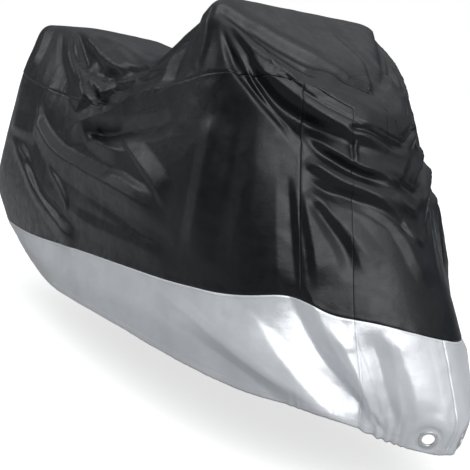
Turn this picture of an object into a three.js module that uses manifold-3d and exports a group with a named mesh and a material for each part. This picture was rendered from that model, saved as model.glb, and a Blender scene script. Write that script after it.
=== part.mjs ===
import * as THREE from 'three';
import Module from 'manifold-3d';

// A fitted outdoor cover of coated cloth: a dark body sewn from a crown, sides and gores above a silver skirt.
// Millimetres, +Z up, +X towards the nose and -Y the right-hand side. Heights in the tables are above the ground.

// Driving sizes
const CLOTH = 2.2;
const SEAM_INSET = 0.2;
const HANG_POINT = new THREE.Vector3(880, 0, 1200);

// Stations run round the cover from the nose, 0, to the middle of the tail, 10, negative on the left-hand side.
// Levels run up from the hem, 0, past the colour edge and the crown seam to the ridge, 3.
const FRONT_SEAM = 1.03;
const GORE_SEAM = 1.95;
const TAIL = 10;
const COLOUR_EDGE = 1;
const CROWN_SEAM = 2;
const RIDGE = 3;

// Columns of cloth between stations: from, to, count
const COLUMN_SPANS = [
  [0, FRONT_SEAM, 6], [FRONT_SEAM, GORE_SEAM, 5], [GORE_SEAM, 3, 6], [3, 4, 6], [4, 5, 8],
  [5, 6, 8], [6, 7, 7], [7, 8, 5], [8, 9, 5], [9, TAIL, 5],
];

// Rows of cloth between levels: from, to, count
const ROW_SPANS = [
  [0, COLOUR_EDGE, 6], [COLOUR_EDGE, 1.5, 5], [1.5, CROWN_SEAM, 8], [CROWN_SEAM, 2.5, 5], [2.5, RIDGE, 3],
];

// The lines that the cloth is stretched over, on the right-hand side.
// level: height order of the line; bend: stations over which a corner is rounded; rows: station, x, y, z
const LINES = [
  { level: 0, bend: 1, rows: [ // hem
    [0, 1756, 0, 168], [0.5, 1700, -82, 138], [1, 1590, -200, 207], [2, 1480, -302, 221], [3, 1310, -360, 208],
    [4, 1000, -390, 212], [5, 680, -370, 210], [6, 340, -330, 190], [7, 60, -268, 166], [8, -290, -180, 190],
    [9, -520, -110, 208], [9.5, -585, -60, 212], [10, -620, 0, 215]] },
  { level: 0.5, bend: 1, rows: [ // fullest line of the skirt
    [0, 1808, 0, 240], [0.5, 1722, -105, 262], [1, 1590, -215, 330], [2, 1460, -325, 350], [3, 1300, -395, 335],
    [4, 1000, -415, 315], [5, 680, -395, 300], [6, 340, -350, 275], [7, 30, -295, 242], [8, -260, -215, 240],
    [9, -525, -140, 242], [9.5, -615, -76, 241], [10, -670, 0, 240]] },
  { level: 1, bend: 0.8, rows: [ // colour edge, where the dark body meets the skirt
    [0, 1684, 0, 436], [0.5, 1635, -130, 464], [1, 1545, -220, 464], [1.5, 1490, -262, 452], [2, 1435, -310, 502],
    [2.5, 1355, -360, 478], [3, 1270, -395, 448], [4, 990, -415, 416], [5, 670, -405, 396], [6, 330, -360, 363],
    [7, 20, -305, 322], [8, -260, -240, 292], [9, -530, -165, 275], [9.5, -640, -88, 270], [10, -700, 0, 268]] },
  { level: 1.5, bend: 1, rows: [ // middle of the sides
    [0, 1510, 0, 700], [0.5, 1490, -95, 705], [1, 1425, -165, 740], [2, 1335, -285, 770], [3, 1190, -385, 740],
    [4, 1000, -415, 720], [5, 690, -400, 650], [6, 330, -355, 570], [7, -10, -325, 510], [8, -300, -285, 460],
    [9, -590, -215, 430], [9.5, -725, -120, 425], [10, -780, 0, 425]] },
  { level: 2, bend: 0.8, rows: [ // crown seam
    [0, 1345, 0, 965], [0.5, 1338, -50, 978], [1, 1305, -100, 998], [2, 1180, -200, 1050], [3, 1080, -320, 1055],
    [4, 975, -370, 1030], [5, 640, -305, 950], [5.5, 470, -285, 905], [6, 300, -255, 845], [6.5, 124, -245, 841],
    [7, -20, -240, 850], [8, -270, -220, 865], [9, -520, -175, 890], [9.5, -640, -92, 896], [10, -710, 0, 900]] },
  { level: 2.5, bend: 0.25, rows: [ // shoulder, with the side peak at station 4
    [0, 1300, 0, 1012], [1, 1255, -75, 1045], [2, 1150, -165, 1105], [3, 1045, -262, 1160], [4, 912, -340, 1250],
    [5, 650, -250, 1115], [5.5, 490, -195, 1044], [6, 290, -150, 1046], [7, 0, -125, 1074], [8, -270, -118, 1082],
    [9, -510, -100, 1072], [9.5, -618, -57, 1056], [10, -690, 0, 1035]] },
  { level: 3, bend: 0.4, rows: [ // ridge
    [0, 1255, 0, 1050], [1, 1205, 0, 1085], [2, 1110, 0, 1135], [3, 1000, 0, 1180], [4, 880, 0, 1246],
    [5, 640, 0, 1085], [5.5, 430, 0, 1042], [6, 250, 0, 1042], [7, -20, 0, 1082], [8, -280, 0, 1088],
    [9, -490, 0, 1080], [10, -635, 0, 1066]] },
];
const LEVEL_BEND = 0.28;

// The left-hand peak stands further back and lower, and the nose hangs lower there.
// level of the line; rows: station, shift in x, shift in z
const LEFT_SHIFTS = new Map([
  [2.5, [[0, 0, 0], [1, 0, 0], [2, -5, 0], [3, -10, -8], [4, -26, -14], [5, -20, 0], [6, 0, 0], [TAIL, 0, 0]]],
  [2, [[0, 0, 0], [1, -5, 0], [2, -12, 0], [3, -15, -4], [4, -25, -6], [5, -20, 0], [6, 0, 0], [TAIL, 0, 0]]],
  [1.5, [[0, 0, 0], [0.5, -8, 0], [1, -22, 0], [2, -28, 0], [3, -30, 0], [4, -20, 0], [6, 0, 0], [TAIL, 0, 0]]],
  [1, [[0, 0, 0], [0.5, 30, -50], [1, -40, -54], [2, -15, -12], [3, 0, 0], [TAIL, 0, 0]]],
  [0.5, [[0, 0, 0], [0.5, 8, -20], [1, 0, -20], [2, 0, 0], [TAIL, 0, 0]]],
  [0, [[0, 0, 0], [0.5, 42, 0], [1, 10, -14], [2, 0, 0], [TAIL, 0, 0]]],
]);
const UNSHIFTED = [[0, 0, 0], [TAIL, 0, 0]];

// Main folds of the right-hand side, ridges above 0 and hollows below, each with its crest on its route.
// height, half width on the left of the route and half width on its right, each at its first and last point;
// route: station, level
const FOLDS = [
  // From the peak over the front
  { height: [9, 29], left: [70, 160], right: [44, 44],
    route: [[3.71, 2.39], [2.91, 2.08], [1.86, 1.89], [1.11, 1.86], [-0.71, 1.84]] },
  { height: [-7, -28], left: [44, 44], right: [44, 70],
    route: [[3.77, 2.41], [3.19, 2.2], [2.77, 1.99], [1.79, 1.82], [1.14, 1.82]] },
  { height: [9, 19], left: [44, 44], right: [90, 190],
    route: [[3.92, 2.4], [3.58, 2.13], [3.38, 2.02], [2.48, 1.79], [1.93, 1.64]] },
  { height: [-14, -14], left: [50, 60], right: [70, 80],
    route: [[4.28, 2.45], [4.59, 2.32], [4.71, 2.1], [4.67, 1.96]] },
  { height: [-12, -24], left: [70, 110], right: [44, 44],
    route: [[3.78, 2.43], [3.27, 2.42], [2.85, 2.39], [1.95, 2.26], [1.45, 2.28]] },
  { height: [8, 14], left: [120, 170], right: [60, 80],
    route: [[3.62, 2.51], [3.15, 2.56], [2.82, 2.6], [1.62, 2.59], [1.15, 2.44]] },
  // Across the gore and the front
  { height: [-11, -11], left: [44, 44], right: [44, 44],
    route: [[1.15, 1.86], [0.84, 1.9], [0.38, 1.9], [-0.85, 1.82]] },
  { height: [10, 10], left: [44, 44], right: [60, 70], route: [[-0.55, 1.84], [-0.09, 1.77], [0.09, 1.71]] },
  { height: [12, 18], left: [44, 50], right: [44, 44],
    route: [[1.89, 1.78], [1.28, 1.72], [0.92, 1.71], [0.57, 1.72], [-0.68, 1.65]] },
  { height: [-9, -10], left: [44, 44], right: [44, 44],
    route: [[1.87, 1.74], [1.56, 1.71], [1.2, 1.69], [0.79, 1.69], [0.25, 1.71]] },
  { height: [10, 22], left: [44, 44], right: [44, 44],
    route: [[1.91, 1.64], [1.62, 1.62], [1.2, 1.6], [0.27, 1.6], [-0.26, 1.56]] },
  { height: [-10, -10], left: [44, 44], right: [44, 44],
    route: [[1.88, 1.57], [1.55, 1.54], [1.08, 1.55], [0.22, 1.5], [0.1, 1.42]] },
  { height: [7, 15], left: [60, 60], right: [44, 44],
    route: [[1.04, 1.56], [0.45, 1.52], [0.22, 1.43], [0.12, 1.33], [-0.03, 1.23]] },
  { height: [10, 9], left: [50, 110], right: [44, 44],
    route: [[1.9, 1.52], [1.82, 1.38], [1.72, 1.26], [1.62, 1.08]] },
  { height: [8, 6], left: [44, 50], right: [44, 44],
    route: [[1.85, 1.52], [1.5, 1.46], [1.08, 1.39], [0.66, 1.26]] },
  // Down the side below the peak
  { height: [-19, -19], left: [44, 44], right: [60, 120],
    route: [[2.15, 1.58], [2.11, 1.39], [2.07, 1.21], [2.01, 1.03]] },
  { height: [-10, -12], left: [60, 60], right: [50, 70],
    route: [[3.08, 1.9], [3.07, 1.74], [3.12, 1.59], [3.24, 1.37], [3.33, 1.12]] },
  { height: [10, 12], left: [60, 80], right: [50, 60],
    route: [[3.6, 1.82], [3.59, 1.65], [3.62, 1.42], [3.71, 1.13]] },
  { height: [12, 12], left: [60, 80], right: [60, 90],
    route: [[2.69, 1.78], [2.68, 1.57], [2.71, 1.35], [2.68, 1.03]] },
  // Where the side laps below the dip of the seat
  { height: [0, 38], left: [70, 90], right: [44, 44],
    route: [[3.72, 1.98], [5.03, 2], [5.41, 1.99], [5.73, 1.93], [6.38, 1.86]] },
  { height: [-8, -29], left: [50, 44], right: [60, 44],
    route: [[4.19, 1.8], [4.91, 1.79], [5.5, 1.81], [5.97, 1.83], [6.22, 1.83]] },
  { height: [-6, -14], left: [44, 44], right: [44, 44],
    route: [[4.78, 2.09], [5.52, 2.21], [5.96, 2.16], [6.25, 2.06], [6.32, 2]] },
  { height: [10, 9], left: [44, 44], right: [44, 50],
    route: [[6.25, 1.83], [5.89, 1.77], [5.62, 1.72], [5.15, 1.67]] },
  { height: [9, 7], left: [44, 70], right: [44, 44],
    route: [[5.5, 1.8], [5.05, 1.67], [4.75, 1.58], [4.48, 1.49], [4.19, 1.37]] },
  // Long creases of the rear side
  { height: [22, 15], left: [44, 50], right: [50, 90],
    route: [[7.7, 1.93], [7.18, 1.76], [6.02, 1.61], [4.95, 1.44], [4.16, 1.33]] },
  { height: [17, 15], left: [44, 44], right: [50, 70],
    route: [[8.75, 1.72], [7.75, 1.65], [7.06, 1.47], [6.14, 1.14], [5.78, 1.05]] },
  { height: [10, 8], left: [50, 70], right: [50, 60], route: [[7.59, 2.06], [7.6, 1.93], [7.68, 1.84]] },
  { height: [9, 8], left: [70, 70], right: [44, 44], route: [[8.8, 1.76], [7.9, 1.76], [7.33, 1.76]] },
  // On the tail hump and behind it
  { height: [9, 7], left: [60, 60], right: [44, 44], route: [[8.84, 2.52], [8.66, 2.28], [8.58, 2.04]] },
  { height: [12, 26], left: [44, 44], right: [110, 90],
    route: [[7.98, 2.52], [7.47, 2.36], [7.12, 2.24], [6.47, 2.06], [6.38, 1.99]] },
  { height: [-7, -23], left: [44, 100], right: [44, 44],
    route: [[7.85, 2.47], [7.55, 2.34], [7.25, 2.25], [6.85, 2.17]] },
  { height: [-17, -5], left: [70, 44], right: [44, 44],
    route: [[6.78, 2.16], [6.52, 2.19], [6.16, 2.22], [5.72, 2.19]] },
  { height: [9, 16], left: [50, 70], right: [44, 44],
    route: [[7.8, 2.53], [6.93, 2.38], [6.38, 2.32], [5.83, 2.24]] },
  { height: [-9, -12], left: [44, 44], right: [44, 44],
    route: [[6.73, 2.14], [6.54, 2.08], [6.32, 2.04], [5.95, 2.01]] },
  // On the skirt, drawn together at the gathered hem beside the eyelet
  { height: [14, 20], left: [110, 46], right: [90, 44],
    route: [[3.7, 0.87], [3.04, 0.62], [2.34, 0.33], [1.56, 0.08], [0.98, 0]] },
  { height: [-15, -21], left: [60, 44], right: [110, 44],
    route: [[2.24, 1.04], [1.79, 0.75], [1.53, 0.57], [1.05, 0.27], [0.88, 0.1]] },
  { height: [9, 15], left: [44, 44], right: [60, 44],
    route: [[1.55, 0.97], [1.24, 0.79], [1.11, 0.64], [0.91, 0.29], [0.78, 0.08]] },
  { height: [-10, -12], left: [50, 44], right: [44, 44],
    route: [[0.8, 0.98], [0.82, 0.85], [0.79, 0.72], [0.72, 0.38], [0.62, 0.13]] },
  { height: [11, 7], left: [90, 60], right: [50, 44],
    route: [[0.55, 0.99], [0.54, 0.89], [0.51, 0.76], [0.48, 0.6], [0.49, 0.34]] },
];
const FOLD_STEPS = 12;
const FOLD_END = 0.2;
const FOLD_ROUNDING = 0.2;
const FOLD_CURVE = 1.3;
const EPSILON = 1e-6;

// The left-hand side folds as the right-hand side does, a little further back and less deeply
const LEFT_FOLD_SHIFT = 0.16;
const LEFT_FOLD_SHARE = 0.85;

// Eyelets for a lock, one on each side of the nose
const EYELET = {
  station: 0.31, level: 0.2, bore: 17, barrel: 18.3, rim: 25.5, crown: 1.9, flange: 1.2,
  flat: 70, fade: 115, clear: 0.17, sides: 28,
};
const EYELET_GAP = 0.3;

const DARK_CLOTH = { color: '#1c1e21', roughness: 0.38, metalness: 0 };
const SILVER_CLOTH = { color: '#c6cace', roughness: 0.42, metalness: 0.35 };
const PLATED_METAL = { color: '#8f9498', roughness: 0.3, metalness: 1 };

// max(x, 0) with its corner rounded over a width
function softRamp(x, width) {
  const size = Math.abs(x) < width / 2 ? (x * x) / width + width / 4 : Math.abs(x);
  return (size + x) / 2;
}

// A line of straight stretches through rows of [knot, x, y, z], with its corners rounded
function softLine(rows, at, width) {
  const slopes = rows.slice(1).map((row, k) => {
    const step = row[0] - rows[k][0];
    return [1, 2, 3].map((axis) => (row[axis] - rows[k][axis]) / step);
  });
  return [1, 2, 3].map((axis) => {
    let value = rows[0][axis] + slopes[0][axis - 1] * (at - rows[0][0]);
    for (let k = 1; k < slopes.length; k += 1) {
      value += (slopes[k][axis - 1] - slopes[k - 1][axis - 1]) * softRamp(at - rows[k][0], width);
    }
    return value;
  });
}

function shiftsAt(rows, at) {
  const k = Math.max(1, rows.findIndex((row) => row[0] >= at));
  const [before, after] = [rows[k - 1], rows[k]];
  const share = (at - before[0]) / (after[0] - before[0]);
  return [1, 2].map((column) => THREE.MathUtils.lerp(before[column], after[column], share));
}

// Both sides of a line in one loop from tail to tail, carried on past the tail at each end
function loopOf(line) {
  const shifts = LEFT_SHIFTS.get(line.level) ?? UNSHIFTED;
  const left = line.rows.map(([station, x, y, z]) => {
    const [back, down] = shiftsAt(shifts, station);
    return [-station, x + back, -y, z + down];
  }).reverse();
  const right = line.rows.slice(1);
  const before = right.slice(-3, -1).map(([station, x, y, z]) => [station - 2 * TAIL, x, y, z]);
  const after = left.slice(1, 3).map(([station, x, y, z]) => [station + 2 * TAIL, x, y, z]);
  return [...before, ...left, ...right, ...after];
}

const loops = LINES.map((line) => ({ level: line.level, bend: line.bend, rows: loopOf(line) }));
const shoulder = loops.find((loop) => loop.level === 2.5);

// The cloth's outer face before it folds
function stretched(station, level) {
  const rows = loops.map((loop) => [loop.level, ...softLine(loop.rows, station, loop.bend)]);
  rows.push([RIDGE + 0.5, ...softLine(shoulder.rows, -station, shoulder.bend)]);
  return new THREE.Vector3(...softLine(rows, level, LEVEL_BEND));
}

function outwardNormal(station, level) {
  const step = 0.02;
  const along = stretched(station + step, level).sub(stretched(station - step, level));
  const up = stretched(station, Math.min(level + step, RIDGE)).sub(stretched(station, Math.max(level - step, 0)));
  return up.cross(along).normalize();
}

function foldRoute(fold) {
  const marks = fold.route.map(([station, level]) => new THREE.Vector3(station, level, 0));
  return new THREE.CatmullRomCurve3(marks).getPoints(FOLD_STEPS).map((point) => stretched(point.x, point.y));
}

const leftFolds = FOLDS.map((fold) => ({
  height: fold.height.map((height) => height * LEFT_FOLD_SHARE),
  left: fold.right,
  right: fold.left,
  route: fold.route.map(([station, level]) => [-station - LEFT_FOLD_SHIFT, level]),
}));
const folds = [...FOLDS, ...leftFolds].map((fold) => ({ ...fold, points: foldRoute(fold) }));

// 1 on the fold's line, falling to 0 at its foot, with a softened crease
function creaseShape(share) {
  const reach = Math.hypot(1, FOLD_ROUNDING) - FOLD_ROUNDING;
  const drop = Math.hypot(share, FOLD_ROUNDING) - FOLD_ROUNDING;
  return Math.max(0, 1 - drop / reach) ** FOLD_CURVE;
}

function fadeAtEnds(share) {
  const rise = THREE.MathUtils.smoothstep(share, 0, FOLD_END);
  const fall = THREE.MathUtils.smoothstep(1 - share, 0, FOLD_END);
  return rise * fall;
}

const nearest = new THREE.Vector3();
const piece = new THREE.Line3();
const across = new THREE.Vector3();
const between = ([first, last], share) => THREE.MathUtils.lerp(first, last, share);

function foldHeight(point, normal) {
  let height = 0;
  for (const fold of folds) {
    let distance = Infinity;
    let share = 0;
    let side = 0;
    for (let k = 0; k < FOLD_STEPS; k += 1) {
      piece.set(fold.points[k], fold.points[k + 1]);
      const along = piece.closestPointToPointParameter(point, true);
      const gap = piece.at(along, nearest).distanceTo(point);
      if (gap < distance) {
        distance = gap;
        share = (k + along) / FOLD_STEPS;
        across.copy(piece.end).sub(piece.start).normalize();
        side = across.crossVectors(normal, across).dot(point.clone().sub(nearest));
      }
    }
    const turn = THREE.MathUtils.smoothstep(side / (distance + EPSILON), -0.5, 0.5);
    const width = THREE.MathUtils.lerp(between(fold.right, share), between(fold.left, share), turn);
    height += between(fold.height, share) * creaseShape(distance / width) * fadeAtEnds(share);
  }
  return height;
}

function eyeletSeat(side) {
  const centre = stretched(side * EYELET.station, EYELET.level);
  return { side, centre, normal: outwardNormal(side * EYELET.station, EYELET.level) };
}

const seats = [eyeletSeat(1), eyeletSeat(-1)];

// How far the cloth is held flat by the eyelet of its side, 1 beside the eyelet
function flattening(seat, station, point) {
  const near = 1 - THREE.MathUtils.smoothstep(point.distanceTo(seat.centre), EYELET.flat, EYELET.fade);
  return near * THREE.MathUtils.smoothstep(seat.side * station, 0, EYELET.clear);
}

// The finished outer face: folded, and flat where an eyelet is pressed in
function draped(station, level) {
  const point = stretched(station, level);
  const normal = outwardNormal(station, level);
  point.addScaledVector(normal, foldHeight(point, normal));
  for (const seat of seats) {
    const off = point.clone().sub(seat.centre).dot(seat.normal);
    point.addScaledVector(seat.normal, -off * flattening(seat, station, point));
  }
  return point;
}

function divided(spans) {
  const marks = [spans[0][0]];
  for (const [from, to, count] of spans) {
    for (let k = 1; k <= count; k += 1) marks.push(THREE.MathUtils.lerp(from, to, k / count));
  }
  return marks;
}

const rightStations = divided(COLUMN_SPANS);
const stations = [...rightStations.slice(1).map((station) => -station).reverse(), ...rightStations];
const levels = divided(ROW_SPANS);
const columns = stations.length - 1;
const rows = levels.length - 1;

// Both ends of the loop of stations are the middle of the tail, and both sides share the ridge
function vertexId(column, row) {
  const wrapped = column === columns ? 0 : column;
  const shared = row === rows ? Math.min(wrapped, columns - wrapped) : wrapped;
  return (shared % columns) * (rows + 1) + row;
}

const outer = new Map();
for (let column = 0; column <= columns; column += 1) {
  for (let row = 0; row <= rows; row += 1) {
    const id = vertexId(column, row);
    const station = stations[column];
    const point = draped(station, levels[row]);
    if (!outer.has(id)) outer.set(id, { station, point, normal: new THREE.Vector3() });
  }
}

// Each cell is split along the diagonal that lies nearer to the folded cloth, but for those at the ridge, which
// meet the other side's
const cells = [];
for (let column = 0; column < columns; column += 1) {
  for (let row = 0; row < rows; row += 1) {
    const corners = [[0, 0], [0, 1], [1, 1], [1, 0]].map(([c, r]) => vertexId(column + c, row + r));
    const station = (stations[column] + stations[column + 1]) / 2;
    const level = (levels[row] + levels[row + 1]) / 2;
    const middle = draped(station, level);
    const misses = [0, 1].map((k) => outer.get(corners[k]).point.clone()
      .lerp(outer.get(corners[k + 2]).point, 0.5).distanceTo(middle));
    if (misses[1] < misses[0] && row < rows - 1) corners.push(corners.shift());
    cells.push({ corners, station, level });
  }
}

// Each vertex takes the mean direction of the cells round it, so neighbouring panels thicken alike
for (const { corners } of cells) {
  const [a, b, c, d] = corners.map((id) => outer.get(id).point);
  const face = new THREE.Vector3().crossVectors(c.clone().sub(a), d.clone().sub(b));
  corners.forEach((id) => outer.get(id).normal.add(face));
}
for (const { station, point, normal } of outer.values()) {
  normal.normalize();
  seats.forEach((seat) => normal.lerp(seat.normal, flattening(seat, station, point)).normalize());
}

// A closed panel of cloth from the cells that belong to it, drawn in a little at its seams
function panelGeometry(belongs) {
  const own = cells.filter(belongs);
  const edges = new Map();
  for (const { corners } of own) {
    corners.forEach((from, k) => {
      const to = corners[(k + 1) % corners.length];
      edges.set(`${from},${to}`, [from, to]);
    });
  }
  const border = [...edges.values()].filter(([from, to]) => !edges.has(`${to},${from}`));

  const inward = new Map();
  for (const [from, to] of border) {
    const run = outer.get(to).point.clone().sub(outer.get(from).point);
    for (const id of [from, to]) {
      const aside = outer.get(id).normal.clone().cross(run).normalize();
      inward.set(id, [...(inward.get(id) ?? []), aside]);
    }
  }

  const positions = [];
  const indices = new Map();
  for (const id of new Set(own.flatMap(({ corners }) => corners))) {
    const face = outer.get(id).point.clone();
    if (inward.has(id)) {
      const [one, other] = inward.get(id);
      face.addScaledVector(one.clone().add(other), SEAM_INSET / (1 + one.dot(other)));
    }
    indices.set(id, positions.length / 3);
    positions.push(...face.toArray(), ...face.addScaledVector(outer.get(id).normal, -CLOTH).toArray());
  }

  const triangles = [];
  for (const { corners } of own) {
    const [a, b, c, d] = corners.map((id) => indices.get(id));
    triangles.push(a, b, c, a, c, d);
    triangles.push(a + 1, c + 1, b + 1, a + 1, d + 1, c + 1);
  }
  for (const [from, to] of border) {
    const [a, b] = [indices.get(from), indices.get(to)];
    triangles.push(b, a, a + 1, b, a + 1, b + 1);
  }
  const geometry = new THREE.BufferGeometry();
  geometry.setAttribute('position', new THREE.Float32BufferAttribute(positions, 3));
  geometry.setIndex(triangles);
  return geometry;
}

const wasm = await Module();
wasm.setup();

function toSolid(geometry) {
  return new wasm.Manifold(new wasm.Mesh({
    numProp: 3,
    vertProperties: new Float32Array(geometry.getAttribute('position').array),
    triVerts: new Uint32Array(geometry.getIndex().array),
  }));
}

function toGeometry(solid) {
  const mesh = solid.getMesh();
  const geometry = new THREE.BufferGeometry();
  geometry.setAttribute('position', new THREE.Float32BufferAttribute(mesh.vertProperties, 3));
  geometry.setIndex(Array.from(mesh.triVerts));
  return geometry;
}

// A turned shape from its profile of [radius, height], stood along the eyelet's axis
function turned(profile, seat) {
  const outline = profile.map(([radius, height]) => new THREE.Vector2(radius, height));
  const shape = new THREE.LatheGeometry(outline, EYELET.sides);
  const turn = new THREE.Quaternion().setFromUnitVectors(new THREE.Vector3(0, 1, 0), seat.normal);
  return shape.applyQuaternion(turn).translate(...seat.centre.toArray());
}

function weld(geometry) {
  const position = geometry.getAttribute('position');
  const found = new Map();
  const points = [];
  const remap = Array.from({ length: position.count }, (_, k) => {
    const point = new THREE.Vector3().fromBufferAttribute(position, k);
    const key = point.toArray().map((value) => value.toFixed(3)).join();
    if (!found.has(key)) {
      found.set(key, points.length / 3);
      points.push(...point.toArray());
    }
    return found.get(key);
  });
  const triangles = [];
  const index = geometry.getIndex().array;
  for (let k = 0; k < index.length; k += 3) {
    const [a, b, c] = [remap[index[k]], remap[index[k + 1]], remap[index[k + 2]]];
    if (a !== b && b !== c && c !== a) triangles.push(a, b, c);
  }
  const welded = new THREE.BufferGeometry();
  welded.setAttribute('position', new THREE.Float32BufferAttribute(points, 3));
  welded.setIndex(triangles);
  return welded;
}

function withEyeletHole(geometry, seat) {
  const radius = EYELET.barrel + EYELET_GAP;
  const reach = 4 * CLOTH;
  const punch = weld(turned([[0, -reach], [radius, -reach], [radius, reach], [0, reach]], seat));
  return toGeometry(toSolid(geometry).subtract(toSolid(punch)));
}

function eyeletGeometry(seat) {
  const { bore, barrel, rim, crown, flange } = EYELET;
  const inside = -CLOTH - EYELET_GAP;
  const profile = [
    [bore, inside - flange], [rim, inside - flange], [rim, inside], [barrel, inside],
    [barrel, EYELET_GAP], [rim, EYELET_GAP], [rim, EYELET_GAP + flange / 2], [(rim + barrel) / 2, crown],
    [barrel, crown], [bore, crown / 2], [bore, inside - flange],
  ];
  return weld(turned(profile, seat));
}

const cover = new THREE.Group();
cover.position.copy(HANG_POINT).negate();

function addPiece(name, geometry, finish) {
  const mesh = new THREE.Mesh(geometry, new THREE.MeshStandardMaterial(finish));
  mesh.name = name;
  cover.add(mesh);
}

const isSkirt = (cell) => cell.level < COLOUR_EDGE;
const isCrown = (cell) => cell.level > CROWN_SEAM || (!isSkirt(cell) && Math.abs(cell.station) < FRONT_SEAM);

addPiece('crown', panelGeometry(isCrown), DARK_CLOTH);

for (const [side, seat] of [['right', seats[0]], ['left', seats[1]]]) {
  const here = (cell, from, to) => cell.station * seat.side > from && cell.station * seat.side < to;
  const isBody = (cell) => !isSkirt(cell) && !isCrown(cell);
  addPiece(`side_${side}`, panelGeometry((cell) => isBody(cell) && here(cell, GORE_SEAM, TAIL)), DARK_CLOTH);
  addPiece(`gore_${side}`, panelGeometry((cell) => isBody(cell) && here(cell, FRONT_SEAM, GORE_SEAM)), DARK_CLOTH);
  addPiece(`skirt_${side}`, panelGeometry((cell) => isSkirt(cell) && here(cell, FRONT_SEAM, TAIL)), SILVER_CLOTH);
  const nosePiece = panelGeometry((cell) => isSkirt(cell) && here(cell, 0, FRONT_SEAM));
  addPiece(`skirt_nose_${side}`, withEyeletHole(nosePiece, seat), SILVER_CLOTH);
  addPiece(`eyelet_${side}`, eyeletGeometry(seat), PLATED_METAL);
}

export default cover;
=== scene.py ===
import math

import bpy
import numpy as np
from mathutils import Matrix, Vector, noise


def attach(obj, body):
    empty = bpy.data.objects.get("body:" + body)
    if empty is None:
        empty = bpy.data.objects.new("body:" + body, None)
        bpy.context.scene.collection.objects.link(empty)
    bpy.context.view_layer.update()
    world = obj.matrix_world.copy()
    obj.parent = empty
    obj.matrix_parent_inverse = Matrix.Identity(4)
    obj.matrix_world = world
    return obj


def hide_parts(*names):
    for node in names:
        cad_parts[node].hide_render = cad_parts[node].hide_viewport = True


# A fitted outdoor cover of glossy coated cloth, dark above a silver skirt, hanging in the folds that it
# takes over what it protects. Shapes are worked out in millimetres, with the ground at height 0, and
# meshes are in metres from the hanging point.

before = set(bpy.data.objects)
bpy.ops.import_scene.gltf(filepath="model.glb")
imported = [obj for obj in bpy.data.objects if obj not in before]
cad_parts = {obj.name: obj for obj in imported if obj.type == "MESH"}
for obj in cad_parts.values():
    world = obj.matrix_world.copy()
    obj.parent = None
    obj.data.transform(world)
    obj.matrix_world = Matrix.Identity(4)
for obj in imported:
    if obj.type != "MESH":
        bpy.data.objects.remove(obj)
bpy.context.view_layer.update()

MM = 0.001
HANG_POINT = np.array([880.0, 0.0, 1200.0])

# Stations run round the cover from the middle of the nose, 0, to the middle of the tail, and are negative
# on the left-hand side. Levels run up it from the hem, 0, to the ridge.
FRONT_SEAM = 1.03
GORE_SEAM = 1.95
TAIL = 10
COLOUR_EDGE = 1
CROWN_SEAM = 2
SHOULDER_LEVEL = 2.5
RIDGE = 3

# Cloth cells between stations and between levels: from, to, count
COLUMN_SPANS = [
    (0, FRONT_SEAM, 44), (FRONT_SEAM, GORE_SEAM, 26), (GORE_SEAM, 3, 40), (3, 4, 34), (4, 5, 46),
    (5, 6, 54), (6, 7, 54), (7, 8, 42), (8, 9, 38), (9, TAIL, 34),
]
ROW_SPANS = [(0, COLOUR_EDGE, 46), (COLOUR_EDGE, CROWN_SEAM, 104), (CROWN_SEAM, RIDGE, 42)]

# Seams with more cells close to them, and how far to each side those lie, in levels and in stations
SEAM_LEVELS = (COLOUR_EDGE, CROWN_SEAM)
SEAM_STATIONS = (0, FRONT_SEAM, GORE_SEAM)
LEVEL_MARKS = (0.005, 0.014)
STATION_MARKS = (0.008, 0.024)

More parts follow.
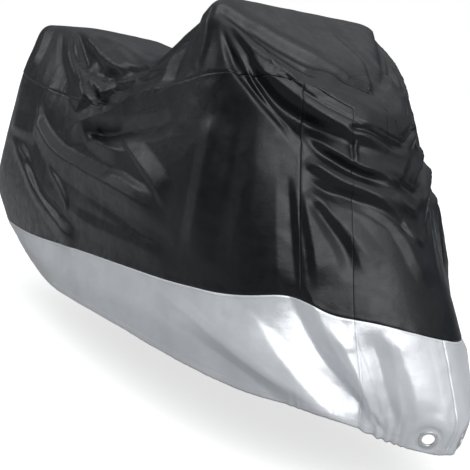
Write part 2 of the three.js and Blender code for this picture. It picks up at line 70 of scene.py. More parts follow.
# The lines that the cloth is stretched over, right-hand side.
# level, stations over which a corner is rounded, rows of (station, x, y, z)
LINES = [
    (0, 1, [
        (0, 1756, 0, 168), (0.5, 1700, -82, 138), (1, 1590, -200, 207), (2, 1480, -302, 221),
        (3, 1310, -360, 208), (4, 1000, -390, 212), (5, 680, -370, 210), (6, 340, -330, 190),
        (7, 60, -268, 166), (8, -290, -180, 190), (9, -520, -110, 208), (9.5, -585, -60, 212),
        (10, -620, 0, 215)]),
    (0.5, 1, [
        (0, 1808, 0, 240), (0.5, 1722, -105, 262), (1, 1590, -215, 330), (2, 1460, -325, 350),
        (3, 1300, -395, 335), (4, 1000, -415, 315), (5, 680, -395, 300), (6, 340, -350, 275),
        (7, 30, -295, 242), (8, -260, -215, 240), (9, -525, -140, 242), (9.5, -615, -76, 241),
        (10, -670, 0, 240)]),
    (1, 0.8, [
        (0, 1684, 0, 436), (0.5, 1635, -130, 464), (1, 1545, -220, 464), (1.5, 1490, -262, 452),
        (2, 1435, -310, 502), (2.5, 1355, -360, 478), (3, 1270, -395, 448), (4, 990, -415, 416),
        (5, 670, -405, 396), (6, 330, -360, 363), (7, 20, -305, 322), (8, -260, -240, 292),
        (9, -530, -165, 275), (9.5, -640, -88, 270), (10, -700, 0, 268)]),
    (1.5, 1, [
        (0, 1510, 0, 700), (0.5, 1490, -95, 705), (1, 1425, -165, 740), (2, 1335, -285, 770),
        (3, 1190, -385, 740), (4, 1000, -415, 720), (5, 690, -400, 650), (6, 330, -355, 570),
        (7, -10, -325, 510), (8, -300, -285, 460), (9, -590, -215, 430), (9.5, -725, -120, 425),
        (10, -780, 0, 425)]),
    (2, 0.8, [
        (0, 1345, 0, 965), (0.5, 1338, -50, 978), (1, 1305, -100, 998), (2, 1180, -200, 1050),
        (3, 1080, -320, 1055), (4, 975, -370, 1030), (5, 640, -305, 950), (5.5, 470, -285, 905),
        (6, 300, -255, 845), (6.5, 124, -245, 841), (7, -20, -240, 850), (8, -270, -220, 865),
        (9, -520, -175, 890), (9.5, -640, -92, 896), (10, -710, 0, 900)]),
    (2.5, 0.25, [
        (0, 1300, 0, 1012), (1, 1255, -75, 1045), (2, 1150, -165, 1105), (3, 1045, -262, 1160),
        (4, 912, -340, 1250), (5, 650, -250, 1115), (5.5, 490, -195, 1044), (6, 290, -150, 1046),
        (7, 0, -125, 1074), (8, -270, -118, 1082), (9, -510, -100, 1072), (9.5, -618, -57, 1056),
        (10, -690, 0, 1035)]),
    (3, 0.4, [
        (0, 1255, 0, 1050), (1, 1205, 0, 1085), (2, 1110, 0, 1135), (3, 1000, 0, 1180), (4, 880, 0, 1246),
        (5, 640, 0, 1085), (5.5, 430, 0, 1042), (6, 250, 0, 1042), (7, -20, 0, 1082), (8, -280, 0, 1088),
        (9, -490, 0, 1080), (10, -635, 0, 1066)]),
]

# Levels over which the bend at a line is rounded, and the step between the points that give a normal
LEVEL_BEND = 0.28
NORMAL_STEP = 0.02

# The left-hand peak stands further back and lower, and the colour edge and the hem hang a little
# differently round the left of the nose. level of the line: rows of (station, shift in x, shift in z)
LEFT_SHIFTS = {
    2.5: [
        (0, 0, 0), (1, 0, 0), (2, -5, 0), (3, -10, -8), (4, -26, -14), (5, -20, 0), (6, 0, 0),
        (TAIL, 0, 0)],
    2: [
        (0, 0, 0), (1, -5, 0), (2, -12, 0), (3, -15, -4), (4, -25, -6), (5, -20, 0), (6, 0, 0),
        (TAIL, 0, 0)],
    1.5: [
        (0, 0, 0), (0.5, -8, 0), (1, -22, 0), (2, -28, 0), (3, -30, 0), (4, -20, 0), (6, 0, 0),
        (TAIL, 0, 0)],
    1: [(0, 0, 0), (0.5, 30, -50), (1, -40, -54), (2, -15, -12), (3, 0, 0), (TAIL, 0, 0)],
    0.5: [(0, 0, 0), (0.5, 8, -20), (1, 0, -20), (2, 0, 0), (TAIL, 0, 0)],
    0: [(0, 0, 0), (0.5, 42, 0), (1, 10, -14), (2, 0, 0), (TAIL, 0, 0)],
}
UNSHIFTED = [(0, 0, 0), (TAIL, 0, 0)]

# Folds of the right-hand side, each with the crest or trough on its route.
# height at the first and last point, half width on the left of the route at both, the same on its right,
# sharpness, route of (station, level)
FOLDS = [
    # From the peak over the front
    ((16, 22), (70, 160), (20, 34), 0.05, [
        (3.71, 2.39), (3.35, 2.24), (2.91, 2.08), (2.52, 2.00), (1.86, 1.89), (1.11, 1.86), (0.52, 1.88),
        (-0.71, 1.84)]),
    ((-10, -30), (14, 26), (30, 70), 0.15, [
        (3.77, 2.41), (3.19, 2.20), (2.77, 1.99), (2.34, 1.87), (1.79, 1.82), (1.14, 1.82)]),
    ((8, 12), (20, 24), (12, 16), 0.05, [
        (3.87, 2.38), (3.30, 2.17), (2.85, 1.96), (2.54, 1.85), (2.22, 1.77), (1.93, 1.69)]),
    ((4, 7), (8, 10), (8, 10), 0.06, [
        (3.61, 2.28), (3.06, 2.05), (2.69, 1.91), (2.34, 1.81), (1.97, 1.73)]),
    ((-6, -9), (10, 14), (10, 14), 0.10, [
        (3.69, 2.24), (3.20, 2.01), (2.82, 1.91), (2.39, 1.81), (2.00, 1.70)]),
    ((10, 20), (14, 20), (90, 190), 0.04, [
        (3.92, 2.40), (3.58, 2.13), (3.38, 2.02), (3.12, 1.96), (2.48, 1.79), (1.93, 1.64)]),
    ((8, 6), (20, 30), (60, 70), 0.05, [(4.02, 2.40), (4.02, 2.20), (4.14, 2.00)]),
    ((-14, -14), (50, 60), (70, 80), 0.12, [(4.28, 2.45), (4.59, 2.32), (4.71, 2.10), (4.67, 1.96)]),
    ((-14, -26), (70, 110), (18, 26), 0.10, [
        (3.78, 2.43), (3.27, 2.42), (2.85, 2.39), (2.42, 2.32), (1.95, 2.26), (1.45, 2.28)]),
    ((8, 14), (120, 170), (60, 80), 0.08, [
        (3.62, 2.51), (3.15, 2.56), (2.82, 2.60), (2.23, 2.66), (1.62, 2.59), (1.15, 2.44)]),
    ((6, 12), (14, 20), (20, 26), 0.05, [
        (3.63, 2.40), (3.26, 2.32), (2.87, 2.23), (2.52, 2.11), (2.05, 2.00), (1.65, 2.01), (1.08, 2.12)]),
    ((-3, -6), (5, 8), (5, 8), 0.10, [
        (3.12, 2.22), (2.49, 2.07), (1.85, 1.94), (1.03, 1.92), (0.31, 1.93), (-0.97, 1.84)]),
    ((6, 6), (8, 10), (8, 10), 0.08, [(2.92, 2.34), (2.67, 2.22), (2.48, 2.12)]),
    ((-6, -6), (7, 9), (7, 9), 0.10, [(2.75, 2.31), (2.55, 2.22), (2.32, 2.10)]),
    ((5, 5), (7, 9), (7, 9), 0.10, [(2.45, 2.13), (2.21, 2.05), (1.98, 2.05)]),
    # Across the gore and the front
    ((-18, -12), (10, 14), (20, 26), 0.12, [(1.15, 1.86), (0.84, 1.90), (0.38, 1.90), (-0.45, 1.85)]),
    ((7, 7), (9, 11), (9, 11), 0.08, [(0.95, 1.84), (0.98, 1.78), (0.97, 1.72)]),
    ((-4, -4), (8, 10), (8, 10), 0.10, [(1.05, 1.82), (1.06, 1.77), (1.05, 1.71)]),
    ((8, 8), (14, 16), (60, 70), 0.05, [(-0.55, 1.84), (-0.09, 1.77), (0.09, 1.71)]),
    ((20, 8), (36, 50), (16, 24), 0.03, [
        (1.89, 1.78), (1.63, 1.73), (1.28, 1.72), (0.92, 1.71), (0.57, 1.72), (0.22, 1.71), (-0.40, 1.68)]),
    ((-14, -14), (14, 18), (24, 30), 0.10, [
        (1.87, 1.74), (1.56, 1.71), (1.20, 1.69), (0.79, 1.69), (0.25, 1.71)]),
    ((22, 9), (30, 44), (18, 30), 0.03, [
        (1.91, 1.64), (1.62, 1.62), (1.20, 1.60), (0.77, 1.61), (0.27, 1.60), (-0.26, 1.56)]),
    ((-14, -12), (16, 24), (30, 40), 0.10, [
        (1.88, 1.57), (1.55, 1.54), (1.08, 1.55), (0.65, 1.55), (0.22, 1.50), (0.10, 1.42)]),
    ((14, 7), (60, 60), (20, 34), 0.04, [
        (1.04, 1.56), (0.45, 1.52), (0.22, 1.43), (0.12, 1.33), (-0.03, 1.23)]),
    ((12, 10), (50, 110), (12, 22), 0.05, [(1.90, 1.52), (1.82, 1.38), (1.72, 1.26), (1.62, 1.08)]),
    ((10, 6), (30, 50), (20, 40), 0.05, [(1.85, 1.52), (1.50, 1.46), (1.08, 1.39), (0.66, 1.26)]),
    ((-8, -8), (20, 30), (24, 34), 0.12, [(1.78, 1.48), (1.48, 1.40), (1.17, 1.31), (0.99, 1.17)]),
    ((6, 6), (16, 20), (16, 20), 0.06, [(0.30, 1.64), (0.10, 1.60), (-0.20, 1.56)]),
    ((-6, -6), (10, 14), (10, 14), 0.10, [(0.16, 1.71), (-0.10, 1.68), (-0.36, 1.64)]),
    ((6, 6), (10, 14), (12, 16), 0.06, [(0.20, 1.53), (0.08, 1.47), (-0.12, 1.42)]),
    # Down the side below the peak
    ((-10, -10), (14, 30), (30, 50), 0.12, [(2.15, 1.58), (2.11, 1.39), (2.07, 1.21), (2.01, 1.03)]),
    ((-10, -12), (60, 60), (50, 70), 0.20, [
        (3.08, 1.90), (3.07, 1.74), (3.12, 1.59), (3.24, 1.37), (3.33, 1.12)]),
    ((10, 12), (60, 80), (50, 60), 0.10, [(3.60, 1.82), (3.59, 1.65), (3.62, 1.42), (3.71, 1.13)]),
    ((5, 5), (60, 80), (60, 90), 0.10, [(2.69, 1.78), (2.68, 1.57), (2.71, 1.35), (2.68, 1.03)]),
    # Where the side laps below the dip of the seat
    ((2, 50), (60, 70), (30, 9), 0.02, [
        (3.72, 1.98), (4.44, 1.98), (5.03, 2.00), (5.41, 1.99), (5.73, 1.93), (6.04, 1.90), (6.38, 1.86),
        (6.72, 1.82)]),
    ((-12, -40), (50, 34), (50, 36), 0.10, [
        (4.19, 1.80), (4.91, 1.79), (5.50, 1.81), (5.97, 1.83), (6.22, 1.83)]),
    ((-12, -30), (30, 24), (16, 12), 0.06, [
        (4.78, 2.09), (5.52, 2.21), (5.96, 2.16), (6.25, 2.06), (6.32, 2.00)]),
    ((18, 14), (16, 20), (40, 50), 0.05, [(6.25, 1.83), (5.89, 1.77), (5.62, 1.72), (5.15, 1.67)]),
    ((18, 12), (40, 70), (12, 18), 0.04, [
        (5.50, 1.80), (5.05, 1.67), (4.75, 1.58), (4.48, 1.49), (4.19, 1.37)]),
    ((8, 8), (14, 20), (40, 50), 0.05, [(5.52, 1.58), (5.13, 1.54), (4.85, 1.49), (4.48, 1.43)]),
    # Long creases of the rear side
    ((26, 18), (30, 50), (50, 90), 0.03, [
        (7.70, 1.93), (7.55, 1.83), (7.18, 1.76), (6.71, 1.69), (6.02, 1.61), (5.39, 1.51), (4.95, 1.44),
        (4.52, 1.37), (4.16, 1.33)]),
    ((20, 18), (24, 40), (50, 70), 0.03, [
        (8.75, 1.72), (7.75, 1.65), (7.06, 1.47), (6.67, 1.32), (6.14, 1.14), (5.78, 1.05)]),
    ((-14, -10), (16, 30), (20, 30), 0.10, [(8.38, 1.72), (7.42, 1.59), (6.75, 1.38), (6.07, 1.17)]),
    ((10, 8), (50, 70), (50, 60), 0.08, [(7.59, 2.06), (7.60, 1.93), (7.68, 1.84)]),
    ((10, 8), (70, 70), (30, 40), 0.08, [(8.80, 1.76), (7.90, 1.76), (7.33, 1.76)]),
    ((6, 6), (14, 20), (20, 30), 0.06, [(7.00, 1.65), (6.54, 1.53), (6.25, 1.40), (6.14, 1.28)]),
    ((-8, -6), (30, 40), (40, 50), 0.12, [(5.85, 1.49), (5.24, 1.38), (4.65, 1.29), (3.95, 1.20)]),
    ((8, 6), (30, 40), (40, 50), 0.08, [(6.25, 1.33), (5.50, 1.22), (4.69, 1.16), (3.99, 1.11)]),
    # On the tail hump and behind it
    ((10, 8), (60, 60), (20, 24), 0.06, [(8.84, 2.52), (8.66, 2.28), (8.58, 2.04)]),
    ((20, 38), (9, 12), (110, 90), 0.03, [
        (7.98, 2.52), (7.47, 2.36), (7.12, 2.24), (6.75, 2.15), (6.47, 2.06), (6.38, 1.99)]),
    ((-6, -6), (20, 24), (24, 24), 0.15, [(8.28, 2.48), (7.80, 2.26), (7.41, 2.15), (6.86, 2.03)]),
    ((-12, -26), (24, 100), (8, 12), 0.08, [(7.85, 2.47), (7.55, 2.34), (7.25, 2.25), (6.85, 2.17)]),
    ((-20, -8), (70, 24), (12, 14), 0.08, [(6.78, 2.16), (6.52, 2.19), (6.16, 2.22), (5.72, 2.19)]),
    ((14, 22), (50, 70), (20, 40), 0.03, [(7.80, 2.53), (6.93, 2.38), (6.38, 2.32), (5.83, 2.24)]),
    ((8, 8), (22, 30), (18, 24), 0.06, [(7.22, 2.53), (6.45, 2.46), (5.11, 2.20)]),
    ((-6, -6), (18, 24), (18, 24), 0.12, [(6.95, 2.50), (6.21, 2.44), (5.15, 2.18)]),
    ((-5, -6), (18, 24), (18, 24), 0.15, [(6.84, 2.67), (6.07, 2.55), (5.47, 2.46)]),
    ((10, 8), (12, 14), (30, 40), 0.05, [(6.87, 2.17), (6.50, 2.19), (5.95, 2.20), (5.23, 2.12)]),
    ((10, 8), (20, 24), (9, 10), 0.06, [(6.79, 2.16), (6.54, 2.13), (6.35, 2.11), (6.21, 2.04)]),
    ((-16, -20), (20, 20), (10, 12), 0.10, [(6.73, 2.14), (6.54, 2.08), (6.32, 2.04), (5.95, 2.01)]),
    ((5, 5), (8, 9), (8, 9), 0.08, [(6.38, 2.16), (6.09, 2.13), (5.81, 2.08)]),
    ((-5, -5), (8, 9), (8, 9), 0.08, [(6.25, 2.19), (6.02, 2.17), (5.72, 2.17)]),
    ((-12, -12), (26, 30), (26, 30), 0.15, [(-6.17, 3.00), (5.58, 2.31), (5.54, 2.10)]),
    # On the skirt, drawn together at the gathered hem beside the eyelet
    ((18, 26), (110, 46), (90, 40), 0.12, [
        (3.70, 0.87), (3.04, 0.62), (2.34, 0.33), (1.56, 0.08), (0.98, 0.00)]),
    ((-30, -26), (60, 16), (120, 44), 0.05, [
        (2.40, 1.15), (2.10, 0.96), (1.79, 0.75), (1.53, 0.57), (1.25, 0.39), (1.05, 0.27), (0.88, 0.10)]),
    ((12, 20), (40, 14), (60, 16), 0.06, [
        (1.55, 0.97), (1.24, 0.79), (1.11, 0.64), (1.00, 0.46), (0.91, 0.29), (0.78, 0.08)]),
    ((-12, -16), (50, 20), (36, 14), 0.08, [
        (0.80, 0.98), (0.82, 0.85), (0.79, 0.72), (0.77, 0.55), (0.72, 0.38), (0.62, 0.13)]),
    ((12, 8), (90, 60), (50, 20), 0.10, [
        (0.55, 0.99), (0.54, 0.89), (0.51, 0.76), (0.48, 0.60), (0.49, 0.34)]),
    ((-5, -9), (10, 8), (10, 8), 0.10, [(1.00, 0.42), (0.90, 0.26), (0.74, 0.06)]),
    ((5, 5), (22, 24), (26, 26), 0.10, [(1.06, 0.97), (1.11, 0.85), (1.12, 0.73)]),
    ((6, 8), (40, 20), (60, 30), 0.08, [(4.28, 0.94), (3.50, 0.66), (2.71, 0.37), (1.92, 0.13)]),
]

# Straight steps along a route, share of it over which a fold starts and ends, power that hollows its
# flanks, and the least distance that is divided by
FOLD_STEPS = 18
FOLD_END = 0.22
FOLD_CURVE = 1.08
NO_GAP = 1e-6

# The left-hand side folds as the right-hand side does, but further back and less deeply, and its folds
# fade over the last stations before the nose
LEFT_FOLD_SHIFT = 0.16
LEFT_FOLD_SHARE = 0.85
LEFT_FOLD_CLEAR = 0.6

# Sewn seams: the groove, the lap beside it, and the puckers that the thread draws. A flat seam keeps a
# share of them.
SEAM_GROOVE = 1.1
SEAM_GROOVE_HALF = 1.8
SEAM_LAP = 0.4
SEAM_LAP_AT = 7.0
SEAM_LAP_HALF = 4.0
FLAT_SEAM_SHARE = 0.25
PUCKER_HEIGHT = 1.3
PUCKER_REACH = 26.0
PUCKER_PITCH = 34.0
FINE_PUCKER_RATE = 1.9
FINE_PUCKER_SHARE = 0.5
SEAM_REACH = 4 * PUCKER_REACH

# Levels or stations over which a seam fades where it meets another
COLOUR_FADE = 0.02
UP_SEAM_FADE = 0.03
CROWN_SEAM_FADE = 0.05

# Thickness of the finished cloth
CLOTH = 1.0

# The hem's turned-up edge: its depth, the height of its step, how softly the step falls, and half the
# width of the groove at its stitches
HEM_DEPTH = 20.0
HEM_LAP = 1.0
HEM_STEP = 2.0
HEM_GROOVE_HALF = 2.2
HEM_SAMPLES = 1200

# Where the hem's elastic draws it into gathers, the same on both sides.
# from station, to station, height of the ripples, their pitch, height above the hem where they fade
GATHERS = [
    (0.00, 0.20, 1.2, 15, 22), (0.42, 1.05, 6.5, 27, 80), (0.95, 2.20, 1.3, 27, 34),
    (2.20, 5.00, 0.6, 46, 30), (7.60, 9.00, 0.9, 33, 30), (8.80, TAIL + 0.2, 2.2, 25, 46),
]

# Stations over which a row of gathers starts and ends, and the share of its height that it has where the
# sway is nothing
GATHER_FADE = 0.12
GATHER_SHARE = 0.75

# The sway that makes the gathers uneven: its pitch along the hem, how far it moves the ripples in radians,
# the row of noise that it follows, and how many samples of the hem it steps over
SWAY_PITCH = 60.0
SWAY_TURN = 9.0
SWAY_ROW = 3.7
SWAY_STRIDE = 12

# Small wrinkles that the cloth keeps from its packing: size across, height. Their middle height is the
# cloth's own.
WRINKLES = [(150.0, 2.6), (62.0, 0.9), (26.0, 0.3)]
WRINKLE_MIDDLE = 0.25

# Eyelets for a lock, one on each side of the nose. The cloth lies flat as far as the first radius and is
# free from the second. The eyelet's hold fades over the stations next to the middle of the nose.
EYELET_STATION = 0.31
EYELET_LEVEL = 0.2
EYELET_FLAT = 40.0
EYELET_FREE = 78.0
EYELET_CLEAR = 0.17

# Radius of the hole in the cloth, the ring-shaped dent that the punch leaves round it: its depth, radius
# and half width, and the flat sides that make the eyelet round
EYELET_HOLE = 20.5
EYELET_DENT = 3.2
EYELET_DENT_AT = 33.0
EYELET_DENT_HALF = 6.0
EYELET_SIDES = 96

# Section of the eyelet through both flanges and the barrel: radius, height over the cloth
EYELET_SECTION = [
    (17.0, -2.3), (17.0, 0.7), (17.5, 1.5), (18.6, 2.1), (20.4, 2.3), (22.4, 2.1), (24.1, 1.5),
    (25.2, 0.9), (25.5, 0.4), (25.2, 0.1), (18.6, 0.1), (18.6, -1.1), (24.9, -1.1), (25.4, -1.5),
    (25.1, -2.1), (24.0, -2.5), (18.0, -2.7),
]

# Rows of stitches: thread, seam station or level, millimetres to its side, from, to
STITCHES_ALONG = [
    ("dark", CROWN_SEAM, 7, FRONT_SEAM, 2 * TAIL - FRONT_SEAM), ("dark", COLOUR_EDGE, 7, 0, 2 * TAIL),
    ("silver", COLOUR_EDGE, -7, 0, 2 * TAIL), ("silver", 0, HEM_DEPTH - 3, 0, 2 * TAIL),
]
STITCHES_UP = [
    ("dark", GORE_SEAM, -7, COLOUR_EDGE, CROWN_SEAM), ("silver", FRONT_SEAM, -7, 0, COLOUR_EDGE),
    ("silver", 0, 6, 0, COLOUR_EDGE),
]

# Points in a row along the cover and in one up it, and the levels that a row up it stays clear of its ends
ROUTE_SAMPLES_ALONG = 2400
ROUTE_SAMPLES_UP = 260
ROUTE_INSET = 0.02

# Sizes of a stitch, its height over the cloth, and the bead of unit width that is drawn out to make it
STITCH_SIZES = {"Pitch": 5.0, "Length": 3.6, "Thread": 0.9}
STITCH_LIFT = 0.25
BEAD_SEGMENTS = 6
BEAD_RINGS = 4
BEAD_RADIUS = 0.5

# Panels: CAD node, finish, flat size of the cloth in metres, share of that size that the panel fills.
# Those of the sides come in pairs.
CROWN_PANEL = ("crown", "dark_cloth", (2.7, 0.95), 0.7)
SIDE_PANELS = [
    ("side", "dark_cloth", (2.3, 0.7), 0.8),
    ("gore", "dark_cloth", (0.2, 0.65), 0.65),
    ("skirt", "silver_cloth", (2.4, 0.34), 0.7),
    ("skirt_nose", "silver_cloth", (0.32, 0.38), 0.7),
]

# Coated cloths: darkest and lightest colour, least and most roughness, metallic, specular level,
# depth in metres of the broad and the fine crinkle
CLOTH_FINISHES = {
    "dark_cloth": (
        [(0.0025, 0.0038, 0.005), (0.006, 0.0075, 0.009)], (0.27, 0.4), 0, 0.36, (0.0012, 0.0002)),
    "silver_cloth": ([(0.7, 0.72, 0.75), (0.82, 0.84, 0.87)], (0.3, 0.42), 0.4, 0.5, (0.0016, 0.0002)),
}

# Noise on the cloths: scale, detail, stretch along each axis
TONE_NOISE = (5.0, 6)
SCUFF_NOISE = (38.0, 5)
BROAD_CRINKLE = (16.0, 6, (1, 1, 1.6))
FINE_CRINKLE = (95.0, 4, (1, 1, 2.2))
WEAVE_SCALE = 210.0
WEAVE_DEPTH = 0.00005

# Sewing threads, with painted shade between their strands, and plated metal. Their noises are given as
# scale and detail.
THREADS = [("dark", (0.012, 0.013, 0.014)), ("silver", (0.5, 0.5, 0.52))]
THREAD_ROUGHNESS = 0.6
# Share of a thread's colour that is left where its painted shade between strands is darkest
THREAD_SHADE = 0.7
THREAD_SHADE_NOISE = (900.0, 2)
PLATED_COLOURS = [(0.72, 0.73, 0.74), (0.86, 0.87, 0.88)]
PLATED_ROUGHNESS = (0.3, 0.45)
PLATED_STAIN = (120.0, 4)
TURNING_MARKS = (900.0, 2)
TURNING_DEPTH = 0.00004

# The values that nearly all of a noise lies between, and the narrower span of the cloths' tone
NOISE_SPAN = (0.3, 0.7)
TONE_SPAN = (0.35, 0.68)

# A pale floor at the ground: size in metres, roughness, colour that it throws back at the cloth, colour
# that the camera sees, and its own glow
GROUND = -HANG_POINT[2] * MM
FLOOR_SIZE = 60
FLOOR_ROUGHNESS = 0.9
FLOOR_THROWN = (0.36, 0.36, 0.36)
FLOOR_SHOWN = (0.5, 0.5, 0.5)
FLOOR_GLOW = 0.72

# The camera: place, the directions of its right, its top and its back, lens and sensor in millimetres
CAMERA_AT = (2.600, -2.198, -0.065)
CAMERA_RIGHT = (0.6004, 0.7868, 0.1430)
CAMERA_UP = (-0.2263, -0.0043, 0.9740)
CAMERA_BACK = (0.7670, -0.6172, 0.1755)
CAMERA_LENS = 84.49
CAMERA_SENSOR = 36

# Soft boxes whose reflections draw the sheens: name, position, where it points, width, height, power
SOFT_BOXES = [
    ("top_soft", (0.4, -0.6, 3.0), (0.0, 0, -0.5), 4.0, 3.0, 24),
    ("nose_soft", (4.6, 0.9, 1.4), (0.5, 0, -0.7), 2.6, 2.4, 13),
    ("tail_soft", (-3.8, -2.5, 1.3), (-0.6, -0.2, -0.4), 2.6, 1.4, 22),
]

# The soft key light from the nose side: direction that it comes from, strength, spread in degrees
KEY_FROM = (0.68, -0.34, 0.75)
KEY_STRENGTH = 1.85
KEY_SPREAD = 50

# The dome of light: heights between which it brightens, and its colours at the sides and overhead
DOME_SPAN = (0.25, 0.8)
DOME_COLOURS = [(0.1, 0.11, 0.12), (0.78, 0.8, 0.83)]


def soft_ramp(x, width):
    """max(x, 0) with its corner rounded over a width."""
    size = np.where(np.abs(x) < width / 2, x * x / width + width / 4, np.abs(x))
    return (size + x) / 2


def soft_line(knots, values, at, width):
    """Straight stretches through values at knots, with the corners rounded.

    values and at hold one entry a point.
    """
    slopes = [(values[k + 1] - values[k]) / (knots[k + 1] - knots[k]) for k in range(len(knots) - 1)]
    out = values[0] + slopes[0] * (at - knots[0])
    for k in range(1, len(slopes)):
        out = out + (slopes[k] - slopes[k - 1]) * soft_ramp(at - knots[k], width)
    return out


def loop_of(level, rows):
    """Both sides of a line, from two rows beyond the tail to two rows beyond it again."""
    at, back, down = zip(*LEFT_SHIFTS.get(level, UNSHIFTED))
    left = [
        (-s, x + np.interp(s, at, back), -y, z + np.interp(s, at, down)) for s, x, y, z in reversed(rows)
    ]
    right = list(rows[1:])
    before = [(s - 2 * TAIL, x, y, z) for s, x, y, z in right[-3:-1]]
    after = [(s + 2 * TAIL, x, y, z) for s, x, y, z in left[1:3]]
    return np.array(before + left + right + after, float)


LOOPS = [(level, bend, loop_of(level, rows)) for level, bend, rows in LINES]
SHOULDER = next(loop for loop in LOOPS if loop[0] == SHOULDER_LEVEL)


def on_line(loop, station):
    """Where the stations lie on one of the lines."""
    _, bend, rows = loop
    return soft_line(rows[:, 0], [row[1:] for row in rows], station[:, None], bend)


def stretched(station, level):
    """The cloth's outer face before it folds, in millimetres."""
    knots = [loop[0] for loop in LOOPS] + [2 * RIDGE - SHOULDER_LEVEL]
    values = [on_line(loop, station) for loop in LOOPS] + [on_line(SHOULDER, -station)]
    return soft_line(knots, values, level[:, None], LEVEL_BEND)


def directions(station, level):
    """Outward normal, millimetres a station and millimetres a level."""
    ahead = stretched(station + NORMAL_STEP, level)
    behind = stretched(station - NORMAL_STEP, level)
    along = (ahead - behind) / (2 * NORMAL_STEP)
    high = np.minimum(level + NORMAL_STEP, RIDGE)
    low = np.maximum(level - NORMAL_STEP, 0)
    up = (stretched(station, high) - stretched(station, low)) / (high - low)[:, None]
    normal = np.cross(up, along)
    normal /= np.linalg.norm(normal, axis=1, keepdims=True)
    return normal, np.linalg.norm(along, axis=1), np.linalg.norm(up, axis=1)


def smooth(x):
    """0 below 0 and 1 above 1, with a soft rise between."""
    x = np.clip(x, 0, 1)
    return x * x * (3 - 2 * x)


def between(ends, share):
    """The value at a share of the way from the first end to the last."""
    return ends[0] + (ends[1] - ends[0]) * share


def spline(points, count):
    """A Catmull-Rom curve through points."""
    p = np.array(points, float)
    p = np.vstack([2 * p[0] - p[1], p, 2 * p[-1] - p[-2]])
    spans = len(p) - 3
    out = []
    for u in np.linspace(0, spans, count):
        k = min(int(u), spans - 1)
        f = u - k
        a, b, c, d = p[k:k + 4]
        square = 2 * a - 5 * b + 4 * c - d
        cube = 3 * b - a - 3 * c + d
        out.append(0.5 * (2 * b + (c - a) * f + square * f ** 2 + cube * f ** 3))
    return np.array(out)


def crease(share, sharp):
    """1 on the fold's line and 0 at its foot, with the crest rounded by sharp."""
    reach = math.hypot(1, sharp) - sharp
    return np.clip(1 - (np.hypot(share, sharp) - sharp) / reach, 0, 1) ** FOLD_CURVE


def both_sides(folds):
    """The right-hand folds and their left-hand mates, whose left and right change places."""
    mates = [
        ((first * LEFT_FOLD_SHARE, last * LEFT_FOLD_SHARE), right, left, sharp,
         [(-s - LEFT_FOLD_SHIFT, level) for s, level in route])
        for (first, last), left, right, sharp, route in folds
    ]
    return list(folds) + mates


def nearest_on(line, points, normals):
    """Each point's distance from a route, its share of the way along it, and how far left of it it lies."""
    gap = np.full(len(points), np.inf)
    share = np.zeros(len(points))
    side = np.zeros(len(points))
    for k in range(FOLD_STEPS):
        start, run = line[k], line[k + 1] - line[k]
        along = np.clip((points - start) @ run / (run @ run), 0, 1)
        off = points - (start + along[:, None] * run)
        reach = np.linalg.norm(off, axis=1)
        aside = np.einsum("ij,ij->i", off, np.cross(normals, run)) / np.linalg.norm(run)
        closer = reach < gap
        gap[closer] = reach[closer]
        share[closer] = (k + along[closer]) / FOLD_STEPS
        side[closer] = aside[closer]
    return gap, share, side


def fold_height(points, normals):
    """Outward shift of the cloth by all its folds. Those of the left-hand side stop short of the nose."""
    total = np.zeros(len(points))
    for number, (height, left, right, sharp, route) in enumerate(both_sides(FOLDS)):
        path = spline(route, FOLD_STEPS + 1)
        line = stretched(path[:, 0], path[:, 1])
        reach = max(left + right)
        near = np.all((points > line.min(0) - reach) & (points < line.max(0) + reach), axis=1)
        if not near.any():
            continue
        gap, share, side = nearest_on(line, points[near], normals[near])
        half_left, half_right = between(left, share), between(right, share)
        half = half_right + (half_left - half_right) * smooth(0.5 + side / (gap + NO_GAP))
        fade = smooth(share / FOLD_END) * smooth((1 - share) / FOLD_END)
        if number >= len(FOLDS):
            station = np.interp(share * FOLD_STEPS, np.arange(FOLD_STEPS + 1), path[:, 0])
            fade *= smooth(-station / LEFT_FOLD_CLEAR)
        total[near] += between(height, share) * crease(gap / half, sharp) * fade
    return total


def pucker_ripple(points):
    """Uneven ripples at two sizes."""
    return np.array([
        noise.noise(Vector(p / PUCKER_PITCH))
        + FINE_PUCKER_SHARE * noise.noise(Vector(p / PUCKER_PITCH * FINE_PUCKER_RATE))
        for p in points
    ])


def seam_relief(station, level, across, up, points):
    """Grooves, laps and puckers along the sewn seams."""
    size = np.abs(station)
    body = smooth((level - COLOUR_EDGE) / COLOUR_FADE)
    below_crown = smooth((CROWN_SEAM - level) / UP_SEAM_FADE + 1)
    seams = [
        (np.abs(level - COLOUR_EDGE) * up, np.ones_like(level)),
        (np.abs(level - CROWN_SEAM) * up, smooth((size - FRONT_SEAM) / CROWN_SEAM_FADE + 1)),
        (np.abs(size - FRONT_SEAM) * across, FLAT_SEAM_SHARE * below_crown),
        (np.abs(size - GORE_SEAM) * across, body * below_crown),
        (size * across, 1 - body),
        (np.abs(size - TAIL) * across, below_crown),
    ]
    ripple = pucker_ripple(points)
    relief = np.zeros_like(level)
    for gap, weight in seams:
        near = gap < SEAM_REACH
        g = gap[near]
        shape = -SEAM_GROOVE * np.exp(-(g / SEAM_GROOVE_HALF) ** 2)
        shape += SEAM_LAP * np.exp(-((g - SEAM_LAP_AT) / SEAM_LAP_HALF) ** 2)
        shape += PUCKER_HEIGHT * ripple[near] * np.exp(-(g / PUCKER_REACH) ** 2)
        relief[near] += shape * weight[near]
    return relief


def measured_hem():
    """Stations along the hem of one side, and the millimetres of hem up to each."""
    stations = np.linspace(0, TAIL + 1, HEM_SAMPLES)
    line = stretched(stations, np.zeros_like(stations))
    steps = np.linalg.norm(np.diff(line, axis=0), axis=1)
    return stations, np.concatenate([[0], np.cumsum(steps)])


HEM_STATIONS, HEM_RUN = measured_hem()


